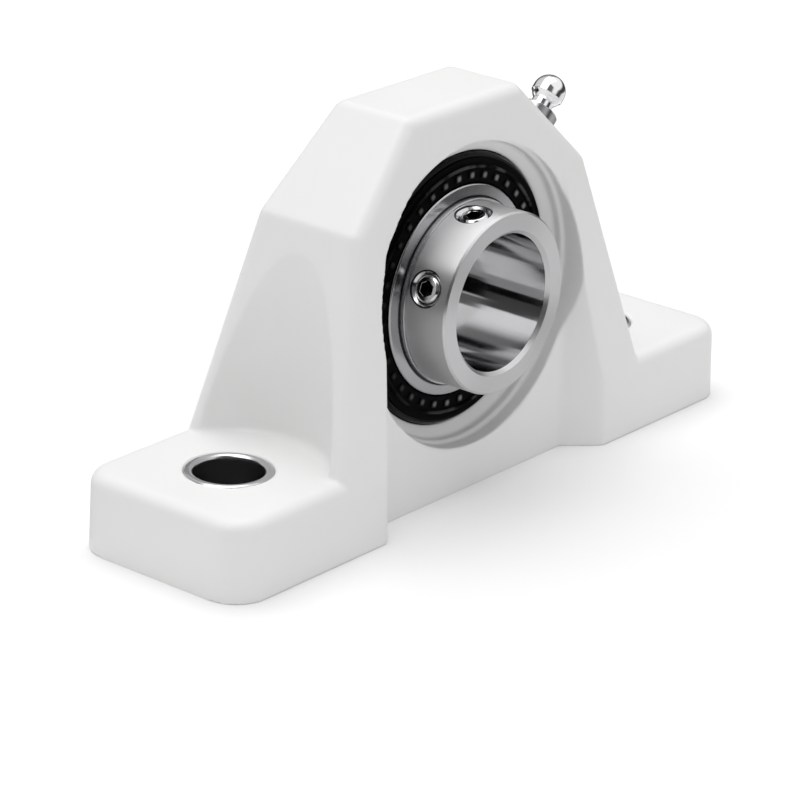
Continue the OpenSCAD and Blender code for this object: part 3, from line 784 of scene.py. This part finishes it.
def make_world():
    """Even light, a white background for the camera, and a studio with dark walls for reflections."""
    world = bpy.data.worlds.new("studio")
    world.use_nodes = True
    tree = world.node_tree
    tree.nodes.clear()
    way = add(tree, "SeparateXYZ", {0: add(tree, "TexCoord").outputs["Generated"]}).outputs
    angle = maths(tree, "ARCTAN2", way["Z"], way["X"])
    dark = 0.0
    for low, high, depth in DARK_SECTORS:
        shade = maths(tree, "MULTIPLY", sector(tree, angle, low, high), depth)
        dark = maths(tree, "MAXIMUM", dark, shade)
    behind = maths(tree, "SUBTRACT", 1.0, dark)
    shades = []
    for low, high, depth in (DARK_SIDE, DARK_FRONT):
        shade = maths(tree, "MULTIPLY", sector(tree, angle, low, high), depth)
        shades.append(maths(tree, "SUBTRACT", 1.0, shade))
    side = mixed(tree, ramp(tree, way["Y"], *FRONT_TO_SIDE), shades[1], shades[0])
    walls = maths(tree, "MULTIPLY", ramp(tree, way["Z"], *WALL_RISE, WALL_FOOT, 1.0), side)
    studio = mixed(tree, ramp(tree, way["Y"], *SIDE_TO_BACK), walls, behind)
    span = maths(tree, "MULTIPLY", ramp(tree, way["Y"], *SOFTBOX_FRONT),
                 ramp(tree, way["Y"], *SOFTBOX_REAR, 1.0, 0.0))
    over = maths(tree, "MULTIPLY", sector(tree, angle, *SOFTBOX), span)
    studio = maths(tree, "ADD", studio, maths(tree, "MULTIPLY", over, SOFTBOX_GAIN))
    path = add(tree, "LightPath").outputs
    plain = ramp(tree, path["Is Camera Ray"], 0.0, 1.0, WORLD_STRENGTH, 1.0)
    strength = mixed(tree, path["Is Glossy Ray"], plain, studio)
    light = add(tree, "Background", {"Color": (1, 1, 1, 1), "Strength": strength})
    add(tree, "OutputWorld", {"Surface": light.outputs[0]})
    bpy.context.scene.world = world


def stage_piece(name, shape, material):
    """A piece of the studio, made from a bmesh."""
    piece = made_of(name, shape, material)
    return piece


def make_floor():
    """A pale floor that stays white round the object's shadow. Metal sees its far part as dark, and the sheet
    behind the object as glowing: painted reflections.
    """
    material, tree, shader = new_material("floor")
    place = add(tree, "TexCoord").outputs["Object"]
    across = add(tree, "SeparateXYZ", {0: place}).outputs
    reach = add(tree, "VectorMath", {0: place}, operation="LENGTH").outputs["Value"]
    far = ramp(tree, reach, SHEET_REACH, 1.4 * SHEET_REACH)
    behind = ramp(tree, across["Y"], *SHEET_BACK)
    right = ramp(tree, across["X"], *SHEET_RIGHT)
    left = ramp(tree, across["X"], *SHEET_LEFT, SHEET_DIM_LEFT, 0.0)
    beside = maths(tree, "MULTIPLY", behind, maths(tree, "MAXIMUM", left, right))
    path = add(tree, "LightPath").outputs
    ahead = ramp(tree, across["Y"], *SHEET_FRONT, SHEET_DIM_FRONT, 0.0)
    # Painted dark reflection: for glossy rays the floor is coloured dark in front, far off and at the sides
    # behind
    painted_dark = maths(tree, "MAXIMUM", ahead, maths(tree, "MAXIMUM", far, beside))
    dark = maths(tree, "MULTIPLY", path["Is Glossy Ray"], painted_dark)
    tree.links.new(blended(tree, dark, FLOOR_PALE, FLOOR_DARK), shader.inputs["Base Color"])
    shader.inputs["Specular IOR Level"].default_value = 0
    shader.inputs["Emission Color"].default_value = (1, 1, 1, 1)
    lift = maths(tree, "MULTIPLY", path["Is Camera Ray"], FLOOR_LIFT)
    # Painted reflected light: the sheet behind emits light that only reflections see
    sheet = maths(tree, "MULTIPLY", maths(tree, "MULTIPLY", path["Is Glossy Ray"], behind),
                  maths(tree, "SUBTRACT", 1.0, painted_dark))
    painted_reflection_glow = maths(tree, "MULTIPLY", sheet, SHEET_GLOW)
    tree.links.new(maths(tree, "ADD", lift, painted_reflection_glow), shader.inputs["Emission Strength"])
    shape = bmesh.new()
    bmesh.ops.create_grid(shape, x_segments=1, y_segments=1, size=FLOOR_HALF)
    bmesh.ops.translate(shape, verts=shape.verts, vec=(0, 0, -FLOOR_DROP))
    stage_piece("floor", shape, material)


def make_hole_shades():
    """Dark discs under the bolt holes as painted shade, which only the sleeves' walls see."""
    material, tree, shader = new_material("hole_shade")
    # Painted shade: nearly black discs
    shader.inputs["Base Color"].default_value = (0.01, 0.01, 0.01, 1)
    for name, side in SIDES:
        shape = bmesh.new()
        bmesh.ops.create_circle(shape, cap_ends=True, segments=48, radius=SLEEVE_BORE_R)
        bmesh.ops.translate(shape, verts=shape.verts, vec=(side * SLEEVE_X, 0, FLOOR_DROP))
        shade = stage_piece("hole_shade_" + name, shape, material)
        shade.visible_camera = False


def make_camera():
    """The camera at the photograph's angle, distance and roll."""
    lens = bpy.data.cameras.new("camera")
    lens.lens = VIEW_LENS
    lens.clip_start, lens.clip_end = VIEW_CLIP
    camera = placed(bpy.data.objects.new("camera", lens))
    azimuth, elevation = math.radians(VIEW_AZIMUTH), math.radians(VIEW_ELEVATION)
    back = Vector((math.sin(azimuth) * math.cos(elevation),
                   -math.cos(azimuth) * math.cos(elevation), math.sin(elevation)))
    camera.location = VIEW_AIM + back * VIEW_DISTANCE
    turn = (-back).to_track_quat("-Z", "Y").to_matrix()
    camera.rotation_euler = (turn @ Matrix.Rotation(math.radians(VIEW_ROLL), 3, "Z")).to_euler()
    bpy.context.scene.camera = camera


make_world()
make_floor()
make_hole_shades()
make_lamp()
make_camera()
bpy.context.scene.view_settings.view_transform = "Standard"
